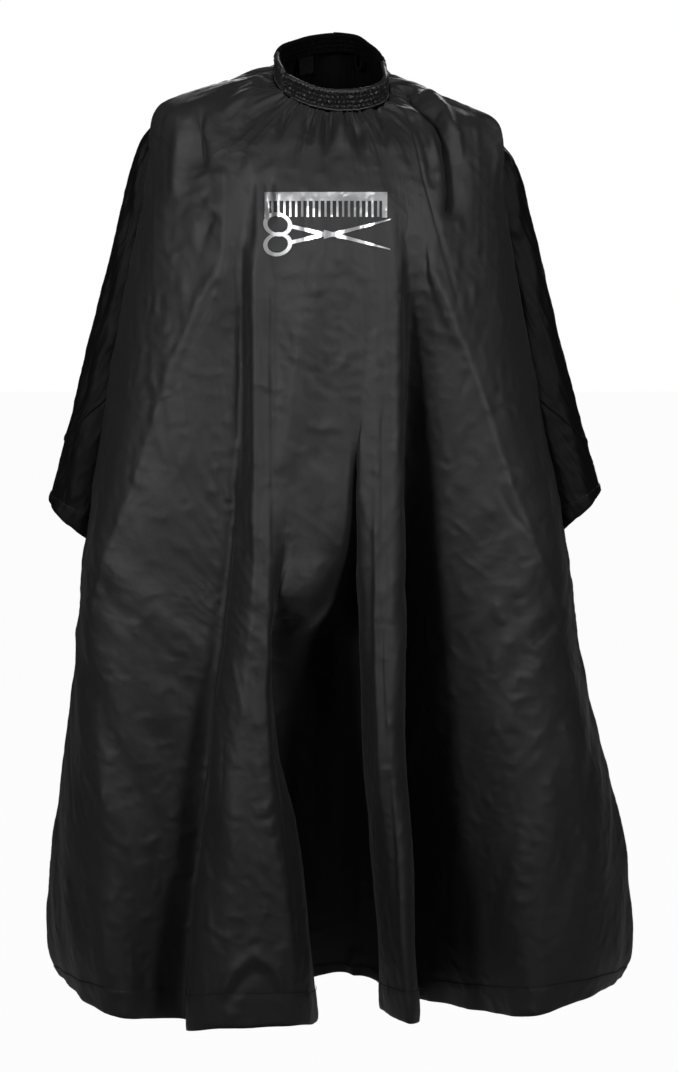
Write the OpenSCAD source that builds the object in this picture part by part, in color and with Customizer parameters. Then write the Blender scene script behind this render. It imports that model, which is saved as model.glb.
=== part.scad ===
// Barber cape with batwing sleeves, hanging from its neckband.
// Millimetres, +Z up. The front faces -Y and the origin is the centre of the neckband.

/* [Size] */
// Drop from the neckband centre to the hem
hem_drop = 1204; // [900:2:1400]
// Half of the shoulder width
shoulder_w = 228; // [190:2:270]
// Half of the hem width, without the folds
hem_w = 370; // [300:2:460]
// Depth of the front at the chest
chest_d = 120; // [90:2:160]
// Depth of the front at the hem, without the folds
front_d = 232; // [150:2:280]
// Depth of the back under the neck
blade_d = 106; // [80:2:140]
// Depth of the back at the hem, without the folds
back_d = 180; // [120:2:240]
// Drop to the shoulder tip
tip_drop = 68; // [50:2:100]

/* [Neckband] */
// Inner radius of the neckband
neck_r = 70; // [50:1:80]
// Height of the neckband
band_h = 26; // [18:1:40]
// Forward tilt of the neckband
neck_tilt = 32; // [0:1:40]
// Width of the split at the back, in degrees
split_a = 10; // [6:1:20]
// Number of snap positions on the band
snap_n = 5; // [2:1:7]

/* [Sleeves] */
// Length of the upper sleeve and cuff together
sleeve_l = 468; // [300:2:600]
// Half width of the sleeve at the wrist
wrist_w = 33; // [24:1:50]
// Half depth of the sleeve at the wrist
wrist_d = 47; // [36:1:60]

/* [Cloth] */
// Thickness of a cloth panel
cloth_t = 2; // [1:0.2:4]
// Thickness of a rolled hem
hem_t = 3.4; // [2:0.2:6]
// Height of a rolled hem
hem_h = 18; // [8:1:40]
// Folds around the skirt
fold_n = 10; // [6:4:18]
// Depth of a fold at the hem
fold_d = 14; // [0:1:24]

/* [Part] */
// Sub-part to draw

/* [Hidden] */
$fn = 64;
half_t = cloth_t / 2;
half_h = hem_t / 2;
band_r = neck_r + 5.2;
neck_x = band_r + 3.8;
tab_r = band_r + 2.4;
tab_t = 1.3;
tab_a = 78;
snap_step = 8;
open_a = 78;
shut_a = 89.9;
arm_end = sleeve_l + tip_drop + 90;

function mix(a, b, t) = a + (b - a) * t;
function unit(t) = max(0, min(1, t));
function ease(t) = let (u = unit(t)) u * u * (3 - 2 * u);
function spow(v, p) = sign(v) * pow(abs(v), p);
function steps(n) = [for (i = [0:n]) i / n];

// Half width and half depth of the cape at a drop below the neckband
function skirt_w(d) =
    mix(shoulder_w, hem_w, unit(1.16 * (d - tip_drop) / (hem_drop - tip_drop)));
function skirt_d(a, d) = cos(a) > 0
    ? mix(chest_d, front_d, unit((d - 128) / (hem_drop - 128)))
    : mix(blade_d, back_d, unit((d - 88) / (hem_drop - 88)));

// Drop at which the shoulder yoke turns into the hanging skirt
function yoke_drop(a) = tip_drop + (cos(a) > 0 ? 60 : 20) * pow(cos(a), 2);
function fold(a, d) = -fold_d * ease((d - 500) / 600) * cos(fold_n * a);

// Point of the hanging skirt at angle a from the front, k outward of the cloth
function skirt(a, d, k) = let (r = k + fold(a, d), lift = 1 - unit((d - yoke_drop(a)) / 60))
    [(skirt_w(d) + r) * spow(sin(a), 0.75),
     -(skirt_d(a, d) + r) * spow(cos(a), 0.75),
     -d + k * lift];

// Point of the seam between the cloth and the tilted neckband
function neck(a, k) = let (y = -neck_x * cos(a), z = -band_h / 2 - 0.5 + k)
    [neck_x * sin(a), y * cos(neck_tilt) - z * sin(neck_tilt),
     y * sin(neck_tilt) + z * cos(neck_tilt)];

// Point of the shoulder yoke, b from 0 at the neck to 1 at the skirt
function yoke(a, b, k) = let (p = neck(a, k), q = skirt(a, yoke_drop(a), k))
    [mix(p[0], q[0], b), mix(p[1], q[1], b), mix(p[2], q[2], pow(b, 1.35))];

// Point of the whole cape, s from 0 at the neck over 0.15 at the yoke to 1 at the hem
yoke_s = 0.15;
function cape(a, s, k) = s < yoke_s
    ? yoke(a, s / yoke_s, k)
    : skirt(a, mix(yoke_drop(a), hem_drop, (s - yoke_s) / (1 - yoke_s)), k);

// How far the armhole is open at s: 0 is a closed side, 1 is fully open
function armhole(s) = let (d = mix(tip_drop, hem_drop, (s - yoke_s) / (1 - yoke_s)))
    ease((s / yoke_s - 0.75) * 4) * (1 - ease((d - arm_end) / 90));
function front_edge(s) = shut_a - (shut_a - open_a) * armhole(s);
function back_edge(s) = 180 - shut_a + (shut_a - open_a + 16) * armhole(s);
// Where the folded edge of the back opening starts
function edge_a(s) = mix(175, 178.6, unit(s / 0.3));
hem_s = 1 - (1 - yoke_s) * hem_h / (hem_drop - tip_drop);

// Closes an outer and an inner grid of points into one thin solid
module sheet(out, inn, ring = false) {
    n = len(out);
    m = len(out[0]);
    k = n * m;
    e = n - 1;
    f = m - 1;
    c = ring ? n - 1 : n - 2;
    function id(i, j) = (i % n) * m + j;
    polyhedron(
        points = concat([for (row = out) each row], [for (row = inn) each row]),
        faces = concat(
            [for (i = [0:c], j = [0:f - 1]) each [
                [id(i, j), id(i + 1, j), id(i + 1, j + 1)],
                [id(i, j), id(i + 1, j + 1), id(i, j + 1)],
                [k + id(i, j), k + id(i + 1, j + 1), k + id(i + 1, j)],
                [k + id(i, j), k + id(i, j + 1), k + id(i + 1, j + 1)]]],
            [for (i = [0:c]) each [
                [id(i, 0), k + id(i, 0), k + id(i + 1, 0)],
                [id(i, 0), k + id(i + 1, 0), id(i + 1, 0)],
                [id(i, f), id(i + 1, f), k + id(i + 1, f)],
                [id(i, f), k + id(i + 1, f), k + id(i, f)]]],
            [for (j = ring ? [] : [0:f - 1]) each [
                [id(0, j), id(0, j + 1), k + id(0, j + 1)],
                [id(0, j), k + id(0, j + 1), k + id(0, j)],
                [id(e, j), k + id(e, j), k + id(e, j + 1)],
                [id(e, j), k + id(e, j + 1), id(e, j + 1)]]]));
}

// Rows of s values: close together over the yoke, wider apart down the skirt
function rows(n) = concat([for (t = steps(4)) t * yoke_s],
    [for (i = [1:n]) mix(yoke_s, hem_s, i / n)]);

function front_grid(n, m, k) = [for (u = steps(n)) [for (s = rows(m))
    cape(mix(-front_edge(s), front_edge(s), u), s, k)]];
function back_grid(n, m, k) = [for (u = steps(n)) [for (s = rows(m))
    cape(mix(back_edge(s), edge_a(s) - 0.1, u), s, k)]];
function band_grid(a, b, n, s0, s1, k) = [for (u = steps(n)) [for (v = steps(2))
    cape(mix(a, b, u), mix(s0, s1, v), k)]];
function edge_grid(m, k) = [for (u = steps(2)) [for (s = rows(m))
    cape(mix(edge_a(s), 179.9, u), s, k)]];

module front_panel() color("#141416")
    sheet(front_grid(38, 14, half_t), front_grid(38, 14, -half_t));
module back_right_panel() color("#141416")
    sheet(back_grid(18, 14, half_t), back_grid(18, 14, -half_t));
module back_left_panel() color("#141416") mirror([1, 0, 0])
    sheet(back_grid(18, 14, half_t), back_grid(18, 14, -half_t));

module hem_strip(a, b, n) color("#101012")
    sheet(band_grid(a, b, n, hem_s + 0.0004, 1, half_h),
          band_grid(a, b, n, hem_s + 0.0004, 1, -half_h));
module front_hem() hem_strip(-shut_a, shut_a, 38);
module back_right_hem() hem_strip(180 - shut_a, 179.9, 18);
module back_left_hem() mirror([1, 0, 0]) hem_strip(180 - shut_a, 179.9, 18);

// Folded edge of the opening down the middle of the back
module back_right_edge() color("#101012")
    sheet(edge_grid(14, half_h), edge_grid(14, -half_h));
module back_left_edge() mirror([1, 0, 0]) back_right_edge();

// Tape sewn under the shoulder seam
module right_shoulder_tape() color("#1b1b1e")
    sheet(band_grid(84, 96, 4, 0.004, 0.1, -2.2), band_grid(84, 96, 4, 0.004, 0.1, -3));
module left_shoulder_tape() mirror([1, 0, 0]) right_shoulder_tape();

// Point of the sleeve, w around it from the outside, s from 0 at the shoulder to 1
function sleeve(w, s, k) =
    [mix(shoulder_w - 10, shoulder_w + 94, s) + (mix(13, wrist_w, s) + k) * cos(w),
     mix(6, 10, s) + (mix(34, wrist_d, s) + k) * sin(w),
     -tip_drop - 12 - sleeve_l * s];
function seam_s(w) = 0.735 + 0.095 * cos(w);
function wrist_s(w) = 1.06 - 0.045 * cos(w);
// Half of the slot towards the body: wide at the armhole, nearly closed lower down
function slot_a(s) = mix(66, 3, unit(s / 0.55));

function sleeve_grid(n, m, k) = [for (u = steps(n)) [for (v = steps(m))
    let (w0 = mix(-140, 140, u), s = v * (seam_s(w0) - 0.003), g = 180 - slot_a(s))
    sleeve(mix(-g, g, u), v * (seam_s(mix(-g, g, u)) - 0.003), k)]];
function cuff_grid(n, m, top, low, k) = [for (i = [0:n - 1]) [for (v = steps(m))
    let (w = 360 * i / n) sleeve(w, mix(seam_s(w), wrist_s(w), mix(top, low, v)), k)]];

module right_sleeve() color("#141416")
    sheet(sleeve_grid(20, 10, half_t), sleeve_grid(20, 10, -half_t));
module left_sleeve() mirror([1, 0, 0]) right_sleeve();
module right_cuff() color("#161618")
    sheet(cuff_grid(24, 3, 0, 0.85, half_t), cuff_grid(24, 3, 0, 0.85, -half_t), true);
module left_cuff() mirror([1, 0, 0]) right_cuff();
module right_cuff_hem() color("#101012")
    sheet(cuff_grid(24, 1, 0.86, 1, half_h), cuff_grid(24, 1, 0.86, 1, -half_h), true);
module left_cuff_hem() mirror([1, 0, 0]) right_cuff_hem();

// Everything on the neckband is drawn upright and then tilted forward
module tilted() rotate([neck_tilt, 0, 0]) children();
module arc(a0, a1) rotate([0, 0, a0]) rotate_extrude(angle = a1 - a0) children();
module radial(a, r, z = 0) rotate([0, 0, a]) translate([r, 0, z]) rotate([0, 90, 0]) children();
function snap_at(i) = 100 + snap_step * i;

module neckband() color("#121214") tilted() difference() {
    arc(90 + split_a / 2, 450 - split_a / 2) polygon([
        [neck_r, -band_h / 2], [neck_r + 1, -band_h / 2],
        [neck_r + 1, band_h / 2 - 1.2], [band_r - 1, band_h / 2 - 1.2],
        [band_r - 1, -band_h / 2], [band_r, -band_h / 2],
        [band_r, band_h / 2], [neck_r, band_h / 2]]);
    for (i = [0:snap_n - 1]) radial(snap_at(i), neck_r + 3) cylinder(h = 3, r = 1.3);
}
module neck_elastic() color("#3a3a3c") tilted()
    arc(97, 443) translate([neck_r + 1.5, 2 - band_h / 2]) square([1.5, band_h - 5]);
module neckband_piping() color("#5c5c60") tilted()
    arc(90 + split_a / 2, 450 - split_a / 2)
        translate([band_r + 1.7, 1 - band_h / 2]) circle(r = 1.3, $fn = 24);

// Press studs along the left end of the band
module snap_studs() color("#b8b8bc") tilted() for (i = [0:snap_n - 1]) {
    radial(snap_at(i), band_r + 0.15) cylinder(h = 0.5, r = 3.6);
    radial(snap_at(i), band_r + 0.65) cylinder(h = 1.1, r = 1.9);
}
module snap_posts() color("#9a9aa0") tilted() for (i = [0:snap_n - 1]) {
    radial(snap_at(i), band_r - 1.6) cylinder(h = 0.4, r = 3);
    radial(snap_at(i), band_r - 1.2) cylinder(h = 1.35, r = 1);
}
module neck_tab() color("#141416") tilted() difference() {
    arc(tab_a, snap_at(2) + 7) translate([tab_r, -9]) square([tab_t, 18]);
    for (i = [1:2]) radial(snap_at(i), tab_r - 2) cylinder(h = 6, r = 1.35);
}
module snap_sockets() color("#b8b8bc") tilted() for (i = [1:2])
    radial(snap_at(i), tab_r - 1.2) difference() {
        cylinder(h = 1.05, r = 4);
        translate([0, 0, -1]) cylinder(h = 3, r = 2.7);
    }
module snap_caps() color("#a8a8ae") tilted() for (i = [1:2]) {
    radial(snap_at(i), tab_r + tab_t + 0.05) cylinder(h = 0.9, r = 5);
    radial(snap_at(i), tab_r - 0.1) cylinder(h = tab_t + 0.2, r = 1.2);
}

// Loop of tape and sewn label, both under the back of the band
module hanging_loop() color("#1b1b1e") tilted()
    radial(62, neck_r + 2.2, -band_h / 2 - 0.6) linear_extrude(1) difference() {
        union() {
            translate([10, 0]) circle(r = 10);
            translate([0, -10]) square([10, 20]);
        }
        translate([10, 0]) circle(r = 5.5);
        translate([-1, -5.5]) square([11, 11]);
    }
module care_label() color("#c8c8ca") tilted()
    radial(122, neck_r + 1.6, -band_h / 2 - 0.6) linear_extrude(0.6)
        translate([0, -11]) square([24, 22]);

// Comb crossed by a pair of scissors, as flat shapes
module comb() {
    translate([-58, 3]) square([116, 8]);
    translate([-58, -13]) square([5, 17]);
    translate([53, -13]) square([5, 17]);
    for (i = [0:18]) translate([-49.5 + 5.5 * i, -12]) square([2, 16]);
}
module scissors() for (m = [0, 1]) mirror([0, m]) rotate(13) {
    polygon([[-2, -3.4], [62, -0.8], [62, 0.4], [-2, 3.4]]);
    translate([-36, -1.8]) square([36, 3.6]);
    translate([-46, 1]) difference() {
        circle(r = 12, $fn = 32);
        circle(r = 8.4, $fn = 32);
    }
}
function patch_grid(k) = [for (u = steps(16)) [for (v = steps(6))
    skirt(mix(-44, 36, u), mix(138, 244, v), k)]];
module chest_emblem() color("#c4c4c8") intersection() {
    sheet(patch_grid(2), patch_grid(1.4));
    translate([-12, 0, -190]) rotate([90, 0, 0]) linear_extrude(300) scale(1.35) {
        translate([0, 14]) comb();
        translate([0, -14]) scissors();
    }
}

front_panel();
back_left_panel();
back_right_panel();
front_hem();
back_left_hem();
back_right_hem();
back_left_edge();
back_right_edge();
left_shoulder_tape();
right_shoulder_tape();
left_sleeve();
right_sleeve();
left_cuff();
right_cuff();
left_cuff_hem();
right_cuff_hem();
neckband();
neck_elastic();
neckband_piping();
snap_studs();
snap_posts();
neck_tab();
snap_sockets();
snap_caps();
hanging_loop();
care_label();
chest_emblem();
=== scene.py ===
import math

import bpy
import numpy as np
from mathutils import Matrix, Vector
from mathutils.bvhtree import BVHTree


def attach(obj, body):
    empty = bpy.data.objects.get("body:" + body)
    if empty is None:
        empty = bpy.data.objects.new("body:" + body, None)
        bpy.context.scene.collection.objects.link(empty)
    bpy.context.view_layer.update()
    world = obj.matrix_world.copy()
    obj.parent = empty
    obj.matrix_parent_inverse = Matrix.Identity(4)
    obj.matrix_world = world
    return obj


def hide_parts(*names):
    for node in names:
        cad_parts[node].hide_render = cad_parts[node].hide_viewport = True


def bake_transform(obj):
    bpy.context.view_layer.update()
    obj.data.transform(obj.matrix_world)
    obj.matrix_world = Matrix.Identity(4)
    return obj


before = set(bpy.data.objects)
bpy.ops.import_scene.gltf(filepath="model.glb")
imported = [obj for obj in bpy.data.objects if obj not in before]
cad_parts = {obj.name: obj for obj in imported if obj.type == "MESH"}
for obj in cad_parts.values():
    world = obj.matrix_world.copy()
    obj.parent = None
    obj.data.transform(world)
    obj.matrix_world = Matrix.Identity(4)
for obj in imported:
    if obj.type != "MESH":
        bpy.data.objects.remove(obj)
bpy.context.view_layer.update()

# ---------------------------------------------------------------- camera
EYE = np.array([0.005, -3.2, -0.188])
PITCH = math.radians(7.178)  # looking down
LENS = 84.0


def from_plane(X, Z, d):
    """A point seen at (X, Z) on the plane y = 0, moved d towards the camera. Metres."""
    k = (-EYE[1] - d) / -EYE[1]
    return np.stack([EYE[0] + (X - EYE[0]) * k, -d + 0 * k, EYE[2] + (Z - EYE[2]) * k], -1)


def to_plane(p):
    """The X and Z on the plane y = 0 at which the camera sees the point p."""
    k = (p[..., 1] - EYE[1]) / -EYE[1]
    return EYE[0] + (p[..., 0] - EYE[0]) / k, EYE[2] + (p[..., 2] - EYE[2]) / k


# ---------------------------------------------------------------- maths
def ease(t):
    """A smooth step from 0 at t = 0 to 1 at t = 1."""
    t = np.clip(t, 0, 1)
    return t * t * (3 - 2 * t)


def noise(x, y, seed=0):
    """Smooth gradient noise of two arrays, about -1 to 1."""
    rng = np.random.default_rng(seed)
    grad = rng.uniform(0, 2 * np.pi, (256, 256))
    gx, gy = np.cos(grad), np.sin(grad)
    xi, yi = np.floor(x).astype(int), np.floor(y).astype(int)
    fx, fy = x - xi, y - yi
    u, v = (f * f * f * (f * (f * 6 - 15) + 10) for f in (fx, fy))

    def corner(i, j):
        a, b = (xi + i) & 255, (yi + j) & 255
        return gx[a, b] * (fx - i) + gy[a, b] * (fy - j)

    n0 = corner(0, 0) * (1 - u) + corner(1, 0) * u
    n1 = corner(0, 1) * (1 - u) + corner(1, 1) * u
    return (n0 * (1 - v) + n1 * v) * 1.5


def spline(P, counts, axis):
    """Centripetal Catmull-Rom through the points of P along axis, counts[i] steps in piece i."""
    P = np.moveaxis(P, axis, 0)
    d = np.sqrt(np.linalg.norm(np.diff(P, axis=0), axis=-1, keepdims=True)) + 1e-6
    s = np.diff(P, axis=0) / d
    m = np.empty_like(P)
    m[1:-1] = s[:-1] + s[1:] - (P[2:] - P[:-2]) / (d[:-1] + d[1:])
    m[0], m[-1] = s[0], s[-1]
    out = []
    for i, n in enumerate(counts):
        t = (np.arange(n) / n).reshape((n,) + (1,) * (P.ndim - 1))
        h = [2 * t**3 - 3 * t**2 + 1, t**3 - 2 * t**2 + t, -2 * t**3 + 3 * t**2, t**3 - t**2]
        out.append(h[0] * P[i] + h[1] * m[i] * d[i] + h[2] * P[i + 1] + h[3] * m[i + 1] * d[i])
    out.append(P[-1:])
    return np.moveaxis(np.concatenate(out), 0, axis)


def normals(P):
    """Unit normals of the grid of points P."""
    du, dv = np.gradient(P, axis=1), np.gradient(P, axis=0)
    n = np.cross(dv, du)
    return n / (np.linalg.norm(n, axis=-1, keepdims=True) + 1e-12)


# ---------------------------------------------------------------- the hanging cloth
TILT = math.radians(32)
BAND_H = 0.026
ROLL_LEFT, ROLL_RIGHT = 0.1, 0.07  # drop of the band's sides for each metre sideways
RIGHT_PRESS = 0.012  # how far the band's right side is pushed in
MM = 0.001


def ring(theta, r, h):
    """A point on the tilted neckband: theta from the front, radius, height along its axis."""
    x, y = r * np.sin(theta), -r * np.cos(theta)
    roll = -np.where(x > 0, ROLL_RIGHT, ROLL_LEFT) * x * ease((2.7 - np.abs(theta)) / 1.1)
    x = x - RIGHT_PRESS * ease((theta - 0.9) / 0.7) * ease((2.85 - theta) / 0.6)
    return np.stack([x, y * math.cos(TILT) - h * math.sin(TILT),
                     y * math.sin(TILT) + h * math.cos(TILT) + roll], -1)


# Lines down the front cloth, left to right: angle at the neck, then X on the plane and depth
# towards the camera at the levels in LEVELS, then X, Z and depth at the hem. Millimetres.
LEVELS = np.array([-99, -161, -240, -351, -480, -609, -727, -859, -996, -1141]) * MM
FRONT = [
    (-88, [-235, -244, -261, -284, -305, -324, -336, -351, -371, -377],
     [20, 26, 30, 32, 32, 30, 18, 2, -16, -30], (-363, -1175, -32)),
    (-73, [-209, -216, -229, -249, -274, -306, -320, -327, -341, -347],
     [52, 68, 78, 86, 94, 103, 104, 97, 87, 78], (-330, -1209, 76)),
    (-60, [-165, -156, -155, -199, -231, -271, -282, -283, -288, -294],
     [84, 108, 124, 120, 120, 124, 128, 132, 137, 142], (-284, -1233, 142)),
    (-48, [-140, -140, -141, -158, -166, -177, -197, -205, -211, -222],
     [92, 116, 128, 124, 126, 128, 128, 122, 114, 104], (-226, -1233, 96)),
    (-44, [-130, -129, -130, -130, -130, -134, -148, -163, -177, -193],
     [93, 115, 125, 119, 120, 122, 126, 116, 104, 96], (-198, -1235, 92)),
    (-40, [-120, -119, -120, -120, -122, -128, -143, -159, -173, -189],
     [94, 116, 125, 120, 126, 140, 156, 165, 169, 171], (-194, -1250, 171)),
    (-31, [-101, -102, -102, -102, -102, -102, -110, -124, -135, -149],
     [97, 124, 140, 148, 158, 172, 186, 197, 207, 213], (-152, -1248, 216)),
    (-21, [-70, -72, -76, -81, -81, -81, -87, -88, -78, -60],
     [98, 126, 140, 144, 154, 167, 180, 190, 197, 197], (-51, -1243, 193)),
    (-12, [-44, -44, -45, -47, -52, -64, -85, -76, -48, -31],
     [99, 130, 143, 148, 152, 154, 150, 142, 132, 122], (-25, -1237, 114)),
    (-10.5, [-38, -38, -38, -40, -44, -54, -84, -78, -60, -48],
     [99, 130, 144, 148, 151, 154, 60, 12, -16, -30], (-42, -1184, -38)),
    (-3, [-17, -14, -13, -13, -16, -26, -38, -34, -20, -7],
     [100, 133, 150, 152, 151, 151, 62, -14, -44, -58], (0, -1171, -62)),
    (8, [19, 20, 22, 22, 18, 10, 2, 8, 18, 28],
     [100, 132, 146, 150, 151, 146, 12, -26, -46, -56], (33, -1174, -58)),
    (15, [44, 44, 44, 41, 29, 31, 37, 44, 55, 68],
     [98, 131, 143, 147, 147, 86, 8, -14, -26, -34], (66, -1190, -20)),
    (18, [51, 51, 51, 47, 32, 32, 34, 39, 48, 59],
     [98, 130, 142, 148, 154, 158, 160, 158, 150, 138], (60, -1218, 104)),
    (27, [72, 72, 72, 72, 70, 68, 68, 69, 82, 91],
     [95, 128, 143, 149, 160, 174, 187, 197, 203, 207], (98, -1241, 207)),
    (31, [81, 82, 83, 84, 86, 88, 88, 88, 98, 103],
     [93, 124, 138, 142, 150, 160, 170, 178, 182, 184], (110, -1238, 180)),
    (36, [93, 94, 95, 93, 88, 86, 84, 83, 90, 97],
     [90, 118, 128, 96, 58, 20, -10, -34, -48, -56], (104, -1206, -58)),
    (44, [107, 109, 115, 132, 140, 142, 144, 148, 160, 176],
     [88, 114, 126, 120, 110, 98, 84, 72, 62, 54], (188, -1222, 50)),
    (56, [123, 128, 121, 170, 205, 239, 233, 243, 255, 263],
     [84, 108, 132, 126, 126, 130, 134, 138, 141, 143], (264, -1230, 143)),
    (72, [171, 181, 197, 217, 250, 284, 289, 316, 336, 349],
     [52, 68, 80, 86, 94, 102, 103, 98, 92, 87], (336, -1203, 85)),
    (88, [214, 216, 229, 250, 276, 301, 315, 345, 380, 391],
     [20, 26, 30, 32, 32, 30, 18, 2, -16, -30], (378, -1179, -32)),
]
NECK_R = 0.079
YOKE = (0.0, 0.12, 0.35, 0.65, 0.88)  # shares of the way from the band to the chest level
RIGHT_SHOULDER_DROP = 0.008


def yoke_to(theta, low):
    """Points from the neckband down to the chest level, flat over the shoulder at the sides."""
    top = ring(np.array(theta), NECK_R, -BAND_H / 2 - 0.001)
    side = float(ease((abs(math.sin(theta)) - 0.8) / 0.19))
    tip = top + (low - top) * (0.90 + 0.05 * side)
    drop = RIGHT_SHOULDER_DROP * side if theta > 0 else 0.0
    tip[2] = top[2] + (low[2] - top[2]) * (0.86 - 0.36 * side) - drop
    arch = np.array([0, 0, 0.004 + 0.008 * side])
    return [top + (tip - top) * b / YOKE[-1] + arch * math.sin(math.pi * b) for b in YOKE]


# one more level at the head of the deep fold, where its roof breaks sharply
HEAD = -672 * MM
HEAD_AT = 6  # its place among the levels
HEAD_DEPTH = {-10.5: 152, -3: 149, 8: 92, 15: 30}


def front_line(angle, xs, depths, hem):
    """One line of the front cloth from the neckband to the hem."""
    a, b = HEAD_AT - 1, HEAD_AT
    k = (HEAD - LEVELS[a]) / (LEVELS[b] - LEVELS[a])
    xs = xs[:b] + [xs[a] + (xs[b] - xs[a]) * k] + xs[b:]
    head_depth = HEAD_DEPTH.get(angle, depths[a] + (depths[b] - depths[a]) * k)
    depths = depths[:b] + [head_depth] + depths[b:]
    levels = np.insert(LEVELS, b, HEAD)
    pts = [from_plane(x * MM, z, d * MM) for x, z, d in zip(xs, levels, depths)]
    pts.append(from_plane(*(np.array(hem) * MM)))
    return yoke_to(math.radians(angle), pts[0]) + pts


# The sides and back, in millimetres at the same levels: height, depth behind the neck, and how far
# the side is set in behind the sleeve. Then the angle of each line and its share of the folds.
BACK_Z = [-99, -158, -235, -342, -466, -590, -650, -704, -830, -962, -1102, -1186]
BACK_D = [104, 112, 119, 127, 135, 143, 147, 151, 160, 170, 180, 186]
INSET = [32, 30, 33, 37, 37, 36, 23, 12, 4, 4, 6, 6]
BACK_ANGLES = [110, 121, 132, 142, 152, 161, 170, 176]
FOLD_DEPTH = 0.026
BACK_FOLD = [[0.4, -1.0, 0.9, -0.8, 1.0, -0.7, 0.6, 0.1],
             [-0.3, 0.9, -1.0, 0.7, -0.8, 1.0, -0.5, 0.2]]


def side_line(edge, sign):
    """The cloth under the arm: set in behind the sleeve, flush lower down."""
    pts = []
    for e, inset in zip(edge[len(YOKE):], INSET):
        pts.append(np.array([e[0] - sign * inset * MM, max(0.012, e[1] + 0.04), e[2]]))
    return yoke_to(sign * math.radians(96), pts[0]) + pts


def back_line(edge, sign, k):
    """One line of a back panel from the neckband to the hem."""
    a = math.radians(BACK_ANGLES[k])
    pts = []
    for j, (e, z, d) in enumerate(zip(edge[len(YOKE):], BACK_Z, BACK_D)):
        fold = FOLD_DEPTH * BACK_FOLD[sign > 0][k] * ease((j + 1) / 12) * (1 if j < 9 else 1.15)
        w = abs(e[0]) + fold - 0.012 * (1 - j / 11)
        pts.append(np.array([sign * w * math.sin(a) ** 0.8,
                             (d * MM + fold) * (-math.cos(a)) ** 0.8, z * MM]))
    return yoke_to(sign * a, pts[0]) + pts


front = [front_line(*line) for line in FRONT]
# rows of faces between two levels, columns between two lines
ROWS = [12, 16, 20, 18, 18, 24, 24, 34, 40, 40, 22, 20, 42, 44, 46, 20]
COLS = 24


def loft(lines, counts):
    """A grid of points over a list of lines, counts[i] columns between lines i and i + 1."""
    P = spline(np.array(lines), ROWS, 1)
    P = np.swapaxes(spline(P, counts, 0), 0, 1)
    # ease the bend between the shoulder and the chest
    a, b = sum(ROWS[:2]), sum(ROWS[:8])
    keep = np.arange(b - a)[:, None, None] / (b - a)
    keep = ease(keep / 0.2) * ease((1 - keep) / 0.3)
    for _ in range(48):
        soft = (P[a - 1:b - 1] + 2 * P[a:b] + P[a + 1:b + 1]) / 4
        P[a:b] += (soft - P[a:b]) * keep
    return P


def polyline_bump(X, Z, pts, w, taper=0.03):
    """1 on the line through pts (X, Z in mm), fading over w metres and at both ends."""
    pts = np.array(pts) * MM
    best = np.full(X.shape, 1e9)
    along = np.zeros(X.shape)
    run = 0.0
    for (x0, z0), (x1, z1) in zip(pts[:-1], pts[1:]):
        dx, dz = x1 - x0, z1 - z0
        n = math.hypot(dx, dz)
        t = np.clip(((X - x0) * dx + (Z - z0) * dz) / n**2, 0, 1)
        d = np.hypot(X - x0 - t * dx, Z - z0 - t * dz)
        near = d < best
        best = np.where(near, d, best)
        along = np.where(near, run + t * n, along)
        run += n
    ends = ease(along / taper) * ease((run - along) / taper)
    return np.exp(-((best / w) ** 2)) * ends


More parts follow.
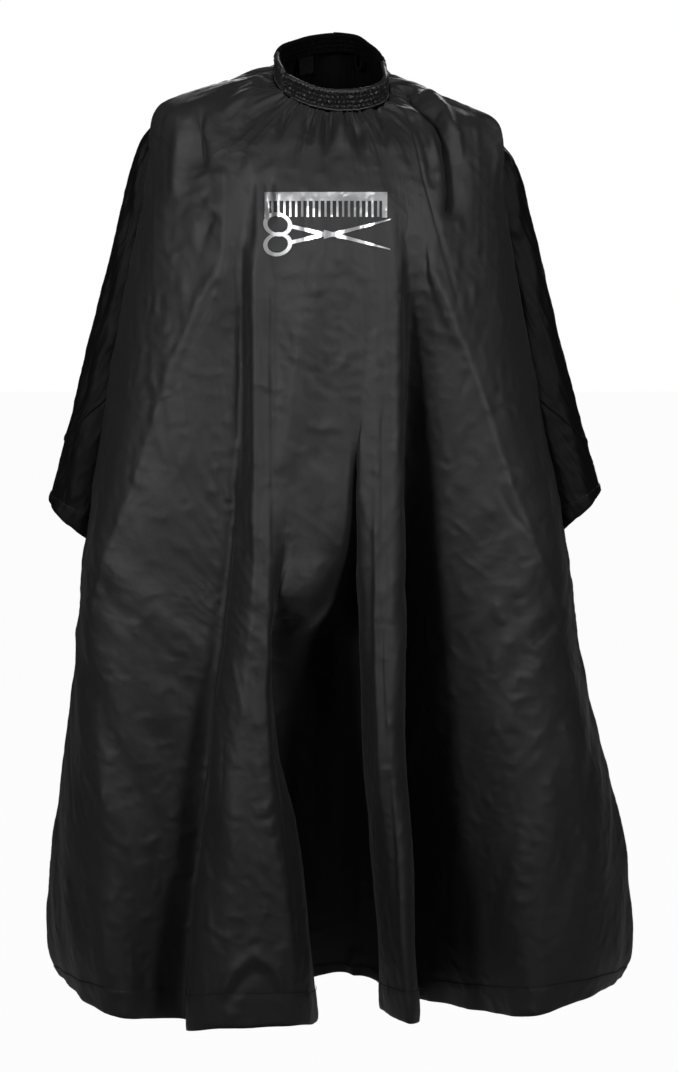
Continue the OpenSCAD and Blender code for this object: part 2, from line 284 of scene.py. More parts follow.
# Folds added to the front: height and half width, then the line on the plane y = 0. Millimetres.
FOLDS = [
    (2.2, 8, [(-133, -238), (-160, -264), (-178, -297), (-192, -336), (-214, -383), (-228, -432),
               (-246, -486), (-265, -540), (-286, -592), (-307, -650), (-325, -704)]),
    (2.2, 8, [(104, -238), (121, -252), (137, -281), (151, -321), (170, -360), (188, -408),
               (205, -461), (223, -515), (239, -557), (252, -592), (267, -628), (286, -672),
               (305, -713)]),
    (-3.2, 7, [(-122, -205), (-121, -400), (-119, -620)]),
    (1.8, 6, [(-105, -225), (-104, -420), (-103, -700)]),
    (1.5, 5, [(-86, -260), (-85, -500), (-90, -800), (-84, -900)]),
    (2.0, 6, [(55, -260), (55, -500), (54, -760), (62, -960)]),
    (3.4, 17, [(-26, -222), (-42, -347), (-55, -440), (-62, -520)]),
    (-3.4, 18, [(12, -232), (-7, -367), (-20, -440), (-26, -520)]),
    (1.8, 9, [(46, -228), (46, -360), (44, -470)]),
    (-1.4, 6, [(66, -228), (66, -400), (62, -600)]),
    (-2.0, 11, [(-74, -228), (-76, -380), (-84, -560)]),
    (1.4, 3.5, [(52, -560), (52, -760), (66, -980), (76, -1150)]),
    (-1.4, 3, [(60, -420), (60, -760), (74, -980), (84, -1150)]),
    (1.2, 3, [(-62, -900), (-46, -1060), (-36, -1180)]),
    (-1.4, 3.5, [(-76, -860), (-58, -1060), (-48, -1180)]),
    (5, 7, [(30, -1130), (22, -1160), (36, -1200)]),
    (-5, 6, [(84, -40), (108, -70), (120, -110), (124, -150)]),
    (-6, 15, [(-165, -55), (-168, -90), (-166, -135)]),
    (4, 9, [(-172, -172), (-155, -168), (-138, -172)]),
    (-1.8, 1.8, [(88, -38), (103, -92), (112, -134), (128, -188), (146, -252), (158, -300)]),
    (-0.9, 1.8, [(-149, -480), (-147, -540), (-146, -598)]),
    (-0.8, 1.8, [(-146, -846), (-147, -950)]),
    (-0.8, 2.0, [(-152, -903), (-130, -899), (-104, -903)]),
    (-0.8, 2.0, [(58, -996), (80, -992), (96, -996)]),
    (4, 7, [(-158, -1215), (-135, -1170), (-108, -1145), (-80, -1165), (-66, -1205)]),
    (-3, 6, [(-146, -1225), (-124, -1185), (-106, -1170), (-88, -1190)]),
    (1.2, 3, [(-282, -440), (-240, -418), (-196, -402)]),
    (-1.0, 3, [(-276, -300), (-248, -292), (-224, -296)]),
    (1.1, 3, [(140, -560), (176, -590), (190, -620)]),
    (1.0, 3, [(150, -610), (182, -632), (206, -655)]),
    (-1.2, 4, [(206, -520), (226, -560), (262, -600)]),
    (3, 14, [(-240, -640), (-226, -760), (-232, -860)]),
    (3, 12, [(-318, -800), (-300, -900), (-306, -1000)]),
    (3, 12, [(300, -820), (318, -920), (322, -1010)]),
    (-10, 6, [(-32, -44), (-34, -72), (-30, -96)]),
    (-9, 6, [(-8, -46), (-10, -80), (-14, -108)]),
    (-12, 7, [(22, -46), (30, -74), (34, -108)]),
    (-9, 7, [(52, -30), (62, -64), (66, -100)]),
    (-7, 8, [(-84, -120), (-84, -160), (-80, -200)]),
    (5, 8, [(6, -44), (4, -70), (2, -100)]),
    (-5, 5, [(-58, -32), (-66, -60), (-72, -92)]),
    (-7, 8, [(-166, -36), (-172, -80), (-168, -134)]),
    (-3.5, 7, [(-150, -170), (-164, -196), (-176, -226)]),
    (4, 8, [(-196, -60), (-200, -110), (-204, -170)]),
    (4, 7, [(-86, -6), (-115, -43), (-130, -80)]),
    (-4, 9, [(-104, -120), (-108, -170), (-112, -230)]),
    (5, 8, [(-78, 0), (-108, -22), (-150, -66)]),
    (-24, 9, [(76, -14), (105, -34), (127, -56), (141, -84), (147, -116), (150, -155),
              (147, -190)]),
    (6, 5, [(96, -14), (117, -26), (139, -46), (155, -79), (162, -118)]),
    (6, 5, [(86, -34), (104, -56), (120, -84), (128, -120)]),
]
# Grooves pressed together from both sides: pull and half width, then the line. Millimetres.
PINCHES = [
    (13, 12, [(70, -8), (76, -14), (105, -34), (127, -56), (141, -84), (147, -116), (150, -155),
              (147, -190)]),
    (10, 14, [(-170, -50), (-172, -80), (-170, -140)]),
]
CRINKLES = ((0.046, 0.0004, 4), (0.022, 0.00028, 5), (0.012, 0.0002, 8))  # size, height, seed


def wrinkle(P, seed, front_side, calm=1.0):
    """Adds soft folds, pulls and crinkles to a lofted cloth, calm times as strong."""
    n = normals(P)
    z = P[..., 2]
    run = np.cumsum(np.linalg.norm(np.diff(P, axis=1, prepend=P[:, :1]), axis=-1), axis=1)
    u = run - run.mean(axis=1, keepdims=True)
    low = ease((-z - 0.15) / 0.8)
    h = 0.0035 * low * noise(u / 0.045 + 7, z / 0.40, seed)
    streak = ease(noise(u / 0.15, z / 0.3, seed + 13) + 0.5)
    h += 0.0006 * noise(u / 0.010, z / 0.22, seed + 12) * streak
    h += 0.0012 * noise(u / 0.06 + z / 0.11, z / 0.10 - u / 0.2, seed + 1)
    wu = u + 0.012 * noise(u / 0.05, z / 0.05, seed + 2)
    wz = z + 0.012 * noise(u / 0.05, z / 0.05, seed + 3)
    share = 0.35 + 0.65 * ease(noise(u / 0.2, z / 0.2, seed + 9) + 0.6)
    for size, height, s in CRINKLES:
        r = 1 - np.abs(noise(wu / size + wz / 0.06, wz / (size * 0.7), seed + s)) * 2
        h += height * (np.clip(r, 0, 1) ** 3) * share
    if front_side:
        X, Z = to_plane(P)
        for height, w, pts in FOLDS:
            h += height * MM * polyline_bump(X, Z, pts, w * MM)
        P = P.copy()
        for pull, w, pts in PINCHES:
            px, pz = np.array(pts[::-1]).T * MM  # upwards
            off = (X - np.interp(Z, pz, px)) / (w * MM)
            ends = ease((pz[-1] - Z) / 0.02) * ease((Z - pz[0]) / 0.04)
            P[..., 0] -= pull * MM * off * np.exp(-off ** 2) * ends
    theta = np.arctan2(P[..., 0], -P[..., 1])
    s = np.linalg.norm(P - ring(theta, NECK_R, -BAND_H / 2), axis=-1)
    gather = noise(theta * 9, s / 0.09, seed + 6) + 0.6 * noise(theta * 19, s / 0.06, seed + 7)
    h += 0.0050 * gather * np.exp(-s / 0.045) * ease(s / 0.006)
    h += 0.0045 * noise(theta * 5.5, s / 0.3, seed + 10) * np.exp(-s / 0.16) * ease(s / 0.03)
    return P + n * (h * calm)[..., None]


# ---------------------------------------------------------------- meshes
def add(name, verts, faces, material, smooth=True):
    me = bpy.data.meshes.new(name)
    me.from_pydata([tuple(v) for v in verts], [], faces)
    me.validate()
    if smooth:
        me.polygons.foreach_set("use_smooth", [True] * len(me.polygons))
    me.materials.append(material)
    ob = bpy.data.objects.new(name, me)
    bpy.context.collection.objects.link(ob)
    return ob


def grid(name, P, material, wrap=False):
    """A mesh over the grid of points P, its last column joined to the first with wrap."""
    r, c = P.shape[:2]
    faces = []
    for i in range(r - 1):
        for j in range(c if wrap else c - 1):
            k = (j + 1) % c
            faces.append((i * c + j, (i + 1) * c + j, (i + 1) * c + k, i * c + k))
    return add(name, P.reshape(-1, 3), faces, material)


def thicken(ob, t, offset=-1.0, inside=None):
    """Gives a surface thickness t, with another material on its inner side if asked."""
    m = ob.modifiers.new("thickness", "SOLIDIFY")
    m.thickness = t
    m.offset = offset
    if inside:
        ob.data.materials.append(inside)
        m.material_offset = 1
    return ob


def tag(ob, body, node=None):
    """Says which body a piece rides, and the node of the frame that it replaces."""
    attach(ob, body)
    if node:
        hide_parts(node)


# ---------------------------------------------------------------- materials
def principled(name, color, rough, **kw):
    """A material and its shader; kw names more inputs, with _ for a space."""
    m = bpy.data.materials.new(name)
    m.use_nodes = True
    b = m.node_tree.nodes["Principled BSDF"]
    b.inputs["Base Color"].default_value = (*color, 1)
    b.inputs["Roughness"].default_value = rough
    for key, v in kw.items():
        b.inputs[key.replace("_", " ")].default_value = v
    return m, b


def cloth_material(name, color, rough, bump=0.9, scale=1.0, shine=0.55, sheen=0.12):
    """Woven cloth: fine ridges and a weave, both as bump."""
    m, b = principled(name, color, rough, Sheen_Weight=sheen, Sheen_Roughness=0.35,
                      Specular_IOR_Level=shine)
    nt = m.node_tree
    co = nt.nodes.new("ShaderNodeTexCoord")
    fine = nt.nodes.new("ShaderNodeTexNoise")
    fine.noise_type = "RIDGED_MULTIFRACTAL"
    fine.inputs["Scale"].default_value = 42 * scale
    fine.inputs["Detail"].default_value = 4
    weave = nt.nodes.new("ShaderNodeTexNoise")
    weave.inputs["Scale"].default_value = 900
    weave.inputs["Detail"].default_value = 1
    mix = nt.nodes.new("ShaderNodeMath")
    mix.operation = "MULTIPLY_ADD"
    mix.inputs[1].default_value = 0.12  # share of the weave
    bp = nt.nodes.new("ShaderNodeBump")
    bp.inputs["Strength"].default_value = bump
    bp.inputs["Distance"].default_value = 0.003
    for t in (fine, weave):
        nt.links.new(co.outputs["Object"], t.inputs["Vector"])
    nt.links.new(weave.outputs["Fac"], mix.inputs[0])
    nt.links.new(fine.outputs["Fac"], mix.inputs[2])
    nt.links.new(mix.outputs[0], bp.inputs["Height"])
    nt.links.new(bp.outputs["Normal"], b.inputs["Normal"])
    return m


BLACK = (0.0125, 0.0125, 0.0132)
CLOTH = cloth_material("cloth", BLACK, 0.58)
# the sleeves' black cloth is made darker and less shiny than the body's: painted shade where the
# sleeves hang back behind the body's edges
SHADED_SLEEVE = cloth_material("sleeve_cloth_painted_shade", (0.0024, 0.0024, 0.0025), 0.62, shine=0.16, sheen=0.02)
# near-black, matte inner side of the cloth: painted shade inside the cape, on the hems' turned-in
# side and on the neckband's inner wall
INNER_SHADE = cloth_material("inner_face_painted_shade", (0.0018, 0.0018, 0.0018), 0.9, 0.1, shine=0.08, sheen=0.0)
HEM = cloth_material("hem_cloth", BLACK, 0.58)
BAND = cloth_material("band_cloth", (0.009, 0.009, 0.0098), 0.42, 0.3, 2.5)
# painted shade: tape, elastic and loop kept near-black because they lie inside the shoulders and the
# neck, in shade
SHADED_TAPE = cloth_material("tape", (0.0025, 0.0025, 0.0025), 0.85, shine=0.1, sheen=0.0)
THREAD, _ = principled("thread", (0.03, 0.03, 0.031), 0.6)
PIPE, _ = principled("piping", (0.045, 0.045, 0.048), 0.5)
METAL, _ = principled("snap_metal", (0.6, 0.6, 0.62), 0.25, Metallic=1.0)
# painted shade: the care label is kept near-black because it hangs inside the back of the neck
SHADED_LABEL, _ = principled("label", (0.006, 0.006, 0.0065), 0.8, Specular_IOR_Level=0.1)
FOIL, _ = principled("silver_foil", (0.74, 0.74, 0.76), 0.32, Metallic=1.0)

# ---------------------------------------------------------------- body panels
CLOTH_T = 0.0006  # thickness
SIDES = (("left", -1), ("right", 1))
P_front = wrinkle(loft(front, [COLS] * (len(front) - 1)), 11, True)
# the cloth's inner side takes the painted shade of the inside
tag(thicken(grid("cloth_front", P_front, CLOTH), CLOTH_T, inside=INNER_SHADE),
    "cape", "front_panel")

panels = {"front": P_front}
for side, sign in SIDES:
    edge = front[0] if sign < 0 else front[-1]
    lines = [edge, side_line(edge, sign)]
    lines += [back_line(edge, sign, k) for k in range(len(BACK_ANGLES))]
    # the free edge: the left panel overlaps the right one on its outer side
    outer = sign < 0
    over = 0.014 if outer else -0.008
    last = []
    for b, q in enumerate(lines[-1]):
        s = min(1.0, b / 8)
        last.append(np.array([over * s - 0.003 * sign, q[1] + 0.007 * s * outer, q[2]]))
    top = yoke_to(sign * math.radians(184), last[len(YOKE)])
    lift = [0.0015 * outer + 0.004 * outer * i / 4 for i in range(len(YOKE))]
    lines.append([np.array([q[0], q[1] + g, q[2]]) for q, g in zip(top, lift)] + last[len(YOKE):])
    n = len(lines) - 1
    # columns counted from the side seam; the folds calm down towards the free edge
    column = np.arange(COLS * n + 1) / COLS
    quiet = 0.12 + 0.88 * ease((n - column) / 1.4)
    fade = ease(1 - column)  # the seam column stays on the front panel's edge
    if outer:
        lines, quiet, fade = lines[::-1], quiet[::-1], fade[::-1]
    P = wrinkle(loft(lines, [COLS] * n), 23 + sign, False, quiet[None, :])
    gap = P_front[:, :1] - P[:, -1:] if outer else P_front[:, -1:] - P[:, :1]
    P = P + fade[None, :, None] * gap
    panels[side] = P
    # the cloth's inner side takes the painted shade of the inside
    tag(thicken(grid(f"cloth_back_{side}", P, CLOTH), CLOTH_T, inside=INNER_SHADE),
        "cape", f"back_{side}_panel")


# ---------------------------------------------------------------- hems and seams
def strip(name, P, material, out, t):
    """A folded band of cloth round the grid P, out metres off it and t more in its middle."""
    n = normals(P)
    r = P.shape[0]
    v = np.linspace(0, 1, r)[:, None]
    puff = out + t * np.sqrt(np.clip(1 - (2 * v - 1) ** 4, 0, 1))
    outer = P + n * puff[..., None]
    inner = P - n * puff[..., None] * 0.6
    loop = np.concatenate([outer, inner[::-1], outer[:1]])
    ob = grid(name, loop, material)
    # the strip's turned-in half takes the painted shade of the inside
    ob.data.materials.append(INNER_SHADE)
    for poly in ob.data.polygons:
        poly.material_index = int(poly.index // (P.shape[1] - 1) >= r)
    return ob


def stitches(name, line, normal, step, length, r=0.0004):
    """Thread stitches of one length along a line of points, one each step."""
    seg = np.linalg.norm(np.diff(line, axis=0), axis=1)
    s = np.concatenate([[0], np.cumsum(seg)])
    verts, faces = [], []
    for a in np.arange(step / 2, s[-1] - length, step):
        p0, p1 = (np.array([np.interp(q, s, line[:, i]) for i in range(3)]) for q in (a, a + length))
        n = np.array([np.interp(a, s, normal[:, i]) for i in range(3)])
        d = (p1 - p0) / (np.linalg.norm(p1 - p0) + 1e-9)
        side = np.cross(d, n)
        side = side / (np.linalg.norm(side) + 1e-9) * r
        k = len(verts)
        for p, lift in ((p0, 0.0), ((p0 + p1) / 2, r * 1.6), (p1, 0.0)):
            verts += [p - side, p + side, p + n * (lift + r * 0.4)]
        for a0 in (0, 3):
            for i in range(3):
                j = (i + 1) % 3
                faces.append((k + a0 + i, k + a0 + j, k + a0 + 3 + j, k + a0 + 3 + i))
    return add(name, verts, faces, THREAD)


hem_rows = max(3, ROWS[-1] // 2)
for name, P in panels.items():
    node = "front_hem" if name == "front" else f"back_{name}_hem"
    tag(strip("hem_" + name, P[-hem_rows:], HEM, 0.0005, 0.0007), "cape", node)
    n = normals(P)[-hem_rows]
    tag(stitches("hem_stitch_" + name, P[-hem_rows] + n * 0.0018, n, 0.0052, 0.0034),
        "cape")

# folded edges of the back opening, and a tape along the inside of each shoulder
edge_cols, tape_rows, tape_cols = max(3, COLS // 3), sum(ROWS[:4]), max(4, COLS // 4)
for side, sign in SIDES:
    P = panels[side]
    free = P[:, -edge_cols:] if sign > 0 else P[:, :edge_cols]
    tag(strip("edge_back_" + side, np.swapaxes(free, 0, 1)[:, ::-1], HEM, 0.0006, 0.001),
        "cape", f"back_{side}_edge")
for side, sign in SIDES:
    P, F = panels[side][:tape_rows], P_front[:tape_rows]
    left, right = (P[:, -tape_cols:-1], F[:, :tape_cols]) if sign < 0 else (
        F[:, -tape_cols:], P[:, 1:tape_cols])
    Q = np.concatenate([left, right], 1)
    tag(thicken(grid("shoulder_tape_" + side, (Q - normals(Q) * 0.0016)[2:], SHADED_TAPE), 0.0007),
        "cape", side + "_shoulder_tape")

# ---------------------------------------------------------------- sleeves
# outer line of each sleeve, left -1 and right 1: X and Z at the shoulder, X and Z at v = 1
SLEEVE_OUT = {-1: (-0.241, -0.060, -0.367, -0.545), 1: (0.222, -0.084, 0.341, -0.545)}
# end of each cuff: its middle v and half its slant
WRIST = {-1: (1.058, 0.056), 1: (1.036, 0.064)}
HALF_X = (0.022, 0.036)  # of the tube, at the shoulder and at v = 1
HALF_Y = (0.032, 0.052)
ROOT = 0.035  # share of the length over which the tube narrows into the shoulder


def sleeve_grid(sign, v0, v1, rows, cols):
    """The flat tube of one sleeve. v is 0 at the shoulder and 1 at the wrist."""
    x0, z0, x1, z1 = SLEEVE_OUT[sign]
    w = np.linspace(0, 2 * np.pi, cols, endpoint=False)[None, :]
    v = v0(w) + (v1(w) - v0(w)) * np.linspace(0, 1, rows)[:, None]
    root = np.exp(-np.clip(v, 0, 9) / ROOT)
    hx = (HALF_X[0] + (HALF_X[1] - HALF_X[0]) * ease(v)) * (1 - 0.6 * root)
    hy = (HALF_Y[0] + (HALF_Y[1] - HALF_Y[0]) * v) * (1 - 0.35 * root)
    soft = noise(w * 1.6 + 3 + sign, v * 2.2, 31) * 0.006 * v
    soft = soft + noise(np.cos(w) * 1.7 + 5 * v, np.sin(w) * 2.1 + v * 6, 33) * 0.003
    cx = np.cos(w) * np.abs(np.cos(w)) ** -0.15
    x_out = x0 + (x1 - x0) * v - sign * 0.024 * root
    x = x_out - sign * (hx - 0.001) + sign * (hx + soft * 0.7) * cx
    y = 0.008 + 0.004 * v + (hy + soft) * np.sin(w)
    z = z0 + (z1 - z0) * v - 0.030 * root * np.sin(w) ** 2
    return np.stack([x, y, z], -1)


def seam_v(w):
    """The slanting seam between sleeve and cuff."""
    return 0.745 + 0.095 * np.cos(w)


def wrist_v(sign):
    return lambda w: WRIST[sign][0] - WRIST[sign][1] * np.cos(w)


def closed(Q):
    """The grid Q with its first column again at the end."""
    return np.concatenate([Q, Q[:, :1]], 1)


def rumple(P, sign):
    """Adds soft folds and crinkles to the tube of a sleeve."""
    n = normals(np.concatenate([P[:, -1:], closed(P)], 1))[:, 1:-1]
    u = np.arange(P.shape[1])[None, :] / P.shape[1] * 2 * np.pi
    z = P[..., 2]
    h = 0.0016 * noise(np.cos(u) * 2.2 + z / 0.06, np.sin(u) * 2.2 + z / 0.15, 41 + sign)
    ridge = 1 - np.abs(noise(np.cos(u) * 3 + z / 0.04, np.sin(u) * 3 + z / 0.05, 43)) * 2
    return P + n * (h + 0.0009 * np.clip(ridge, 0, 1) ** 3)[..., None]


sleeve_rows, sleeve_cols = ((110, 160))
cuff_hem_rows = max(3, sleeve_rows // 12)
sleeve_sheets = []  # piece, flat size, pieces that go with it
for side, sign in SIDES:
    top = sleeve_grid(sign, lambda w: 0 * w, seam_v, sleeve_rows, sleeve_cols)
    cuff = sleeve_grid(sign, seam_v, wrist_v(sign), sleeve_rows // 2, sleeve_cols)
    if sign < 0:
        top, cuff = top[:, ::-1], cuff[:, ::-1]
    top, cuff = rumple(top, sign), rumple(cuff, sign)
    cuff[0] = top[-1]
    sleeve_ob = thicken(grid(f"sleeve_{side}", top, SHADED_SLEEVE, wrap=True), CLOTH_T)
    cuff_ob = thicken(grid(f"cuff_{side}", cuff, SHADED_SLEEVE, wrap=True), CLOTH_T)
    # the cuff's hem and the seam strip also take the sleeves' painted shade
    hem = strip(f"cuff_hem_{side}", closed(cuff[-cuff_hem_rows:]), SHADED_SLEEVE, 0.0005, 0.0008)
    seam = strip(f"sleeve_seam_{side}", closed(np.concatenate([top[-3:-1], cuff[:2]])), SHADED_SLEEVE,
                 0.0003, 0.0008)
    ring_line = closed(cuff)
    n = normals(ring_line)[-cuff_hem_rows]
    thread = stitches(f"cuff_stitch_{side}", ring_line[-cuff_hem_rows] + n * 0.0014, n,
                      0.005, 0.0033)
    # the frame's parts that these pieces replace are hidden, and each piece's transform is baked
    # into its mesh
    for ob, slot, node in ((sleeve_ob, "cloth", "sleeve"), (cuff_ob, "cloth", "cuff"),
                           (hem, "hem_cloth", "cuff_hem"), (seam, "hem_cloth", None),
                           (thread, "hem_cloth", None)):
        if node:
            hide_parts(f"{side}_{node}")
        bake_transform(ob)
    sleeve_sheets += [(sleeve_ob, (0.24, 0.38), [seam.name]),
                      (cuff_ob, (0.26, 0.15), [hem.name, thread.name])]

# ---------------------------------------------------------------- neckband
BAND_R = 0.0750
BAND_T = 0.0045  # from its outer to its inner wall
WALL = 0.46  # share of the cloth's width in each wall, the rest going over the top
PUFF_ROWS = 4  # rows of quilting up each wall
OVERLAP_AT = -1.02  # angle of the overlap at the front left


def band_grid(rows, cols, a0, a1):
    """The casing's cloth: outer wall up, over the top, inner wall down, shirred over the elastic."""
    th = np.linspace(a0, a1, cols)[None, :]
    t = np.linspace(0, 1, rows)[:, None]
    H = BAND_H / 2
    up, down = t < WALL, t > 1 - WALL
    h = np.where(up, -H + 2 * H * t / WALL, np.where(down, H - 2 * H * (t - 1 + WALL) / WALL, H))
    bend = np.clip((t - WALL) / (1 - 2 * WALL), 0, 1)
    r = BAND_R - BAND_T * bend
    h = h + 0.0012 * np.sin(np.pi * bend)
    out = np.where(t < 0.5, 1.0, -1.0)
    wall = np.clip(np.where(t < 0.5, t / WALL, (1 - t) / WALL), 0, 1)
    puff = np.abs(np.sin(np.pi * PUFF_ROWS * wall)) ** 0.6
    row = np.floor(wall * PUFF_ROWS)
    shift = 1.7 * noise(th * 7, row * 3.3 + 0.4, 54) + 1.9 * (row % 2)
    cell = 0.12 + 0.88 * np.abs(np.sin(th * 40 + shift)) ** 0.8
    shirr = noise(th * 42, wall * 7, 51) * 0.7 + noise(th * 90, wall * 11, 52) * 0.5
    d = 0.0019 * puff * cell + 0.0013 * shirr * (0.3 + puff)
    r = r + out * d
    r = r + 0.0018 * ease((th - 2.9) / 0.25)  # one end lies over the other under the tab
    # slight stretch of the top edge, and the overlap at the front left
    past = th - OVERLAP_AT
    notch = np.exp(-((past / 0.07) ** 2))
    h = h + 0.00096 * noise(th * 2.2, 0 * th, 53) - 0.0075 * notch * ease((h + H) / (2 * H))
    step = ease(past / 0.05) * np.exp(-np.clip(past, 0, 9) / 0.5)
    r = r + 0.0028 * step - 0.002 * notch * ease((h + H) / (2 * H))
    return ring(th + 0 * h, r, h + 0 * th)


band_end = math.pi + math.radians(1.5)  # the ends overlap at the back
band_rows, band_cols = ((60, 1100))
band = grid("neckband_casing", band_grid(band_rows, band_cols, -band_end, band_end), BAND)
band.data.materials.append(INNER_SHADE)
for poly in band.data.polygons:  # the inner wall, and at the back the top edge as well, get the near-black inner material: painted shade inside the neck
    row, col = divmod(poly.index, band_cols - 1)
    back = abs(col / (band_cols - 1) - 0.5) > 0.27
    if row > (0.4 if back else 0.52) * band_rows:
        poly.material_index = 1
tag(band, "cape", "neckband")


def tube(name, line, r, material, sides=8):
    """A round cord of radius r along a line of points."""
    t = np.gradient(line, axis=0)
    t /= np.linalg.norm(t, axis=1, keepdims=True)
    up = np.array([0, 0.3, 1.0])
    a = np.cross(t, up)
    a /= np.linalg.norm(a, axis=1, keepdims=True)
    b = np.cross(t, a)
    w = np.linspace(0, 2 * np.pi, sides, endpoint=False)
    c, s = np.cos(w)[None, :, None], np.sin(w)[None, :, None]
    return grid(name, line[:, None] + r * (c * a[:, None] + s * b[:, None]), material, wrap=True)


th = np.linspace(-band_end, band_end, 400)
pipe_r = 0.0768 + 0.0005 * noise(th * 12, 0 * th, 61)
pipe_h = -BAND_H / 2 + 0.0005 + 0.0008 * noise(th * 9, 0 * th, 62)
tag(tube("neckband_piping_cord", ring(th, pipe_r, pipe_h), 0.0011, PIPE),
    "cape", "neckband_piping")

# press tab, closed over the ends of the band
th = np.linspace(math.radians(168), math.radians(212), 60)[None, :]
hh = np.linspace(-0.009, 0.009, 14)[:, None]
T = ring(th + 0 * hh, 0.0777 + 0.0004 * noise(th * 9, hh * 90, 71), hh + 0 * th)
tab = thicken(grid("neck_tab_cloth", T, BAND), 0.0012, 0.0)
tag(tab, "tab", "neck_tab")

# elastic inside the casing, loop and label sewn under the back of the band
th = np.linspace(math.radians(-172), math.radians(172), 700)[None, :]
hh = np.linspace(-0.0105, 0.0100, 12)[:, None]
elastic_r = 0.0727 + 0.0003 * np.sin(th * 160) + 0.0004 * noise(th * 20, hh * 60, 72)
E = ring(th + 0 * hh, elastic_r, hh + 0 * th)
elastic = thicken(grid("neck_elastic_ribbon", E, SHADED_TAPE), 0.001, 0.0)
tt = np.linspace(0, 1, 26)[:, None]
ww = np.linspace(-0.154, 0.154, 24)[None, :]
label_r = 0.0716 - 0.0025 * tt**2 + 0.0010 * noise(ww * 14, tt * 2.4, 73)
L = ring(math.radians(-148) + ww + 0 * tt, label_r, -0.0120 - 0.0256 * tt + 0 * ww)
label = thicken(grid("care_label_sheet", L, SHADED_LABEL), 0.0004, 0.0)
aa = np.linspace(0, np.pi, 30)
LOOP_R = 7.75  # of the loop's bend, mm
px = np.concatenate([np.full(8, -LOOP_R), -LOOP_R * np.cos(aa), np.full(8, LOOP_R)])
leg = np.linspace(1.5, -9.5, 8)
pz = np.concatenate([leg, -10 - LOOP_R * np.sin(aa), leg[::-1]])
d = np.gradient(np.stack([px, pz], -1), axis=0)
d /= np.linalg.norm(d, axis=1, keepdims=True)
s = np.linspace(-2.25, 2.25, 6)[None, :]
lx, lz = px[:, None] - d[:, 1:] * s, pz[:, None] + d[:, :1] * s
loop_r = 0.0722 - 0.0016 * (lz / 18) ** 2 + 0.0004 * noise(lx / 3, lz / 3, 74)
K = ring(math.radians(152) + lx * MM / 0.0722, loop_r, -0.0136 + lz * MM)
loop = thicken(grid("hanging_loop_tape", K, SHADED_TAPE), 0.001, 0.0)
for ob, node, slot in ((elastic, "neck_elastic", "elastic"), (label, "care_label", "label"),
                       (loop, "hanging_loop", "tape")):
    tag(ob, "cape", node)

for node in ("snap_studs", "snap_posts", "snap_sockets", "snap_caps"):
    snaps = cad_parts[node].data.materials
    snaps.clear()
    snaps.append(METAL)

# ---------------------------------------------------------------- chest emblem
EMBLEM_X, EMBLEM_Z = -0.012, -0.186  # its centre on the plane y = 0
EMBLEM_LIFT = 0.0011  # off the cloth


def front_tree():
    """The front cloth as a tree for casting rays."""
    r, c = P_front.shape[:2]
    faces = [(i * c + j, (i + 1) * c + j, (i + 1) * c + j + 1, i * c + j + 1)
             for i in range(r - 1) for j in range(c - 1)]
    return BVHTree.FromPolygons([Vector(v) for v in P_front.reshape(-1, 3)], faces)


def emblem_shapes():
    """Quads of a comb over a pair of scissors, X and Z in mm about the emblem's centre."""
    quads = []

    def bar(x0, z0, x1, z1, nx, nz=2):
        xs, zs = np.linspace(x0, x1, nx + 1), np.linspace(z0, z1, nz + 1)
        for xa, xb in zip(xs[:-1], xs[1:]):
            for za, zb in zip(zs[:-1], zs[1:]):
                quads.append([(xa, za), (xb, za), (xb, zb), (xa, zb)])

    # comb: back, end teeth, teeth
    bar(-78, 23, 78, 34, 60, 4)
    bar(-78, 2, -71.5, 23, 3, 8)
    bar(71.5, 2, 78, 23, 3, 8)
    for i in range(19):
        x = -66.8 + 7.42 * i
        bar(x - 1.4, 3, x + 1.4, 23, 1, 8)
    # scissors: two halves, each turned about the pin
    for m in (1, -1):
        ca, sa = math.cos(math.radians(13)), math.sin(math.radians(13)) * m

        def turn(x, z):
            return x * ca - z * sa, x * sa + z * ca - 19

        def eye(r, q):
            return turn(-62 + 1.25 * r * math.cos(q), m * 1.5 + r * math.sin(q))

        for i in range(40):
            s, e = i / 40, (i + 1) / 40
            xa, xb = -3 + 87 * s, -3 + 87 * e
            wa, wb = 4.6 * (1 - s) ** 0.7 + 0.5, 4.6 * (1 - e) ** 0.7 + 0.5
            quads.append([turn(xa, m * -wa), turn(xb, m * -wb),
                          turn(xb, m * 0.6), turn(xa, m * 0.6)])
        for i in range(20):
            xa, xb = -49 + 46 * i / 20, -49 + 46 * (i + 1) / 20
            quads.append([turn(xa, -2.3), turn(xb, -2.3), turn(xb, 2.3), turn(xa, 2.3)])
        for i in range(48):
            a, b = 2 * np.pi * i / 48, 2 * np.pi * (i + 1) / 48
            quads.append([eye(15, a), eye(15, b), eye(10.6, b), eye(10.6, a)])
    return quads


tree = front_tree()
verts, faces = [], []
for q in emblem_shapes():
    k = len(verts)
    for x, z in q:
        w = from_plane(EMBLEM_X + x * MM, EMBLEM_Z + z * MM, 0.0)
        hit, n, _, _ = tree.ray_cast(Vector(EYE), Vector(w - EYE).normalized())
        if n.y > 0:
            n = -n
        verts.append(np.array(hit + n * EMBLEM_LIFT))
    a = np.array(verts[k:])
    up = np.cross(a[1] - a[0], a[2] - a[0])[1]
    faces.append((k, k + 1, k + 2, k + 3) if up < 0 else (k + 3, k + 2, k + 1, k))
tag(add("chest_emblem_foil", verts, faces, FOIL, smooth=False),
    "cape", "chest_emblem")

# ---------------------------------------------------------------- each panel's pieces, width and cut, worked out but not passed on
for name in panels:
    pieces = ["hem_" + name, "hem_stitch_" + name]
    if name == "front":
        ob, width, cut = bpy.data.objects["cloth_front"], 1.5, 1.2
        pieces += ["chest_emblem_foil", "shoulder_tape_left", "shoulder_tape_right"]
    else:
        ob, width, cut = bpy.data.objects["cloth_back_" + name], 0.8, 0.66
        pieces.append("edge_back_" + name)

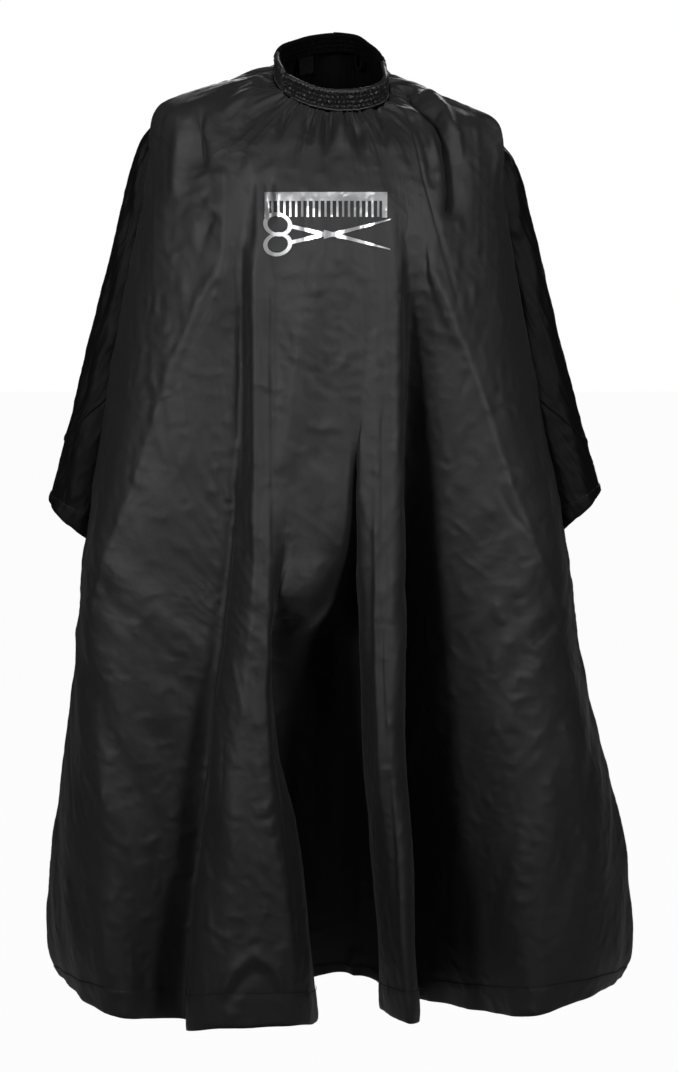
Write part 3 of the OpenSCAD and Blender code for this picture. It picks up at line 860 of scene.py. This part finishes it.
# ---------------------------------------------------------------- stage, light, camera
# floor and world are dim for the light they give back, and white where the camera sees them
FLOOR_Z = -1.42
FLOOR, _ = principled("floor", (0.35, 0.35, 0.35), 0.9)
bpy.ops.mesh.primitive_plane_add(size=30, location=(0, 0, FLOOR_Z))
floor = bpy.context.object
floor.name = "floor"
floor.data.materials.append(FLOOR)
fn = FLOOR.node_tree
glow = fn.nodes.new("ShaderNodeEmission")
glow.inputs["Strength"].default_value = 1.0
seen = fn.nodes.new("ShaderNodeLightPath")
part = fn.nodes.new("ShaderNodeMath")
part.operation = "MULTIPLY"
part.inputs[1].default_value = 0.97
blend_in = fn.nodes.new("ShaderNodeMixShader")
fn.links.new(seen.outputs["Is Camera Ray"], part.inputs[0])
fn.links.new(part.outputs[0], blend_in.inputs["Fac"])
fn.links.new(fn.nodes["Principled BSDF"].outputs[0], blend_in.inputs[1])
fn.links.new(glow.outputs[0], blend_in.inputs[2])
fn.links.new(blend_in.outputs[0], fn.nodes["Material Output"].inputs["Surface"])

world = bpy.data.worlds.new("studio")
bpy.context.scene.world = world
world.use_nodes = True
wn = world.node_tree
bg = wn.nodes["Background"]
bg.inputs["Color"].default_value = (1, 1, 1, 1)
bg.inputs["Strength"].default_value = 0.03
white = wn.nodes.new("ShaderNodeBackground")
white.inputs["Color"].default_value = (1, 1, 1, 1)
white.inputs["Strength"].default_value = 1.0
path = wn.nodes.new("ShaderNodeLightPath")
both = wn.nodes.new("ShaderNodeMixShader")
wn.links.new(path.outputs["Is Camera Ray"], both.inputs["Fac"])
wn.links.new(bg.outputs[0], both.inputs[1])
wn.links.new(white.outputs[0], both.inputs[2])
wn.links.new(both.outputs[0], wn.nodes["World Output"].inputs["Surface"])


def area_light(name, at, aim, size, power, spread):
    """A rectangular lamp; power in watts, spread in degrees."""
    li = bpy.data.lights.new(name, "AREA")
    li.shape = "RECTANGLE"
    li.size, li.size_y = size
    li.energy = power
    li.spread = math.radians(spread)
    ob = bpy.data.objects.new(name, li)
    bpy.context.collection.objects.link(ob)
    ob.location = at
    ob.rotation_euler = (Vector(aim) - Vector(at)).to_track_quat("-Z", "Y").to_euler()


area_light("left", (-1.6, -2.5, 0.55), (0.0, -0.1, -0.25), (0.6, 1.0), 4.0, 52)
area_light("right", (1.6, -2.5, 0.55), (0.0, -0.1, -0.25), (0.6, 1.0), 3.6, 52)
area_light("top", (0.0, -1.5, 1.9), (0, -0.1, -0.4), (1.2, 0.6), 5, 180)
area_light("rear", (0.3, 2.8, 1.2), (0, 0.1, -0.5), (2.0, 1.2), 42, 120)

cam = bpy.data.cameras.new("camera")
cam.lens = LENS
cam.clip_end = 100
camera = bpy.data.objects.new("camera", cam)
bpy.context.collection.objects.link(camera)
camera.location = EYE
camera.rotation_euler = (math.pi / 2 - PITCH, 0, 0)
bpy.context.scene.camera = camera
bpy.context.scene.view_settings.view_transform = "Standard"
